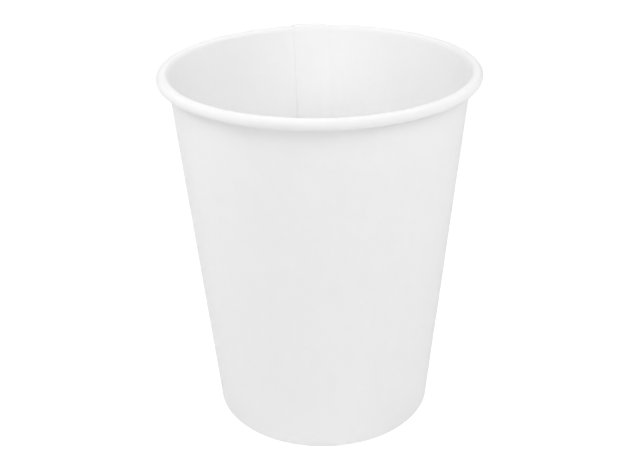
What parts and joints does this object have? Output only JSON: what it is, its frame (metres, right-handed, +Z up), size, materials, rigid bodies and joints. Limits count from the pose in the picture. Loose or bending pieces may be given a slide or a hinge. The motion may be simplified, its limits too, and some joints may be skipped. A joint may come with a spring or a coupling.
{
  "type": "paper coffee cup",
  "caption": "Plain white single-wall paper cup for hot drinks, with a tapered side wall, rolled rim, lapped side seam and recessed bottom.",
  "frame": {"origin": "centre of the standing ring, on the ground", "axes": "+Z up the cup's axis to the rim; -Y is the front, and the side seam is at the back, 10.7 degrees from +Y towards -X"},
  "size_m": [0.08, 0.0803, 0.0944],
  "materials": {
    "wall_board": "smooth white coated cup board, satin",
    "bottom_board": "smooth white coated cup board, satin"
  },
  "bodies": {
    "root": {"side_wall": "wall_board", "bottom": "bottom_board"}
  },
  "joints": []
}
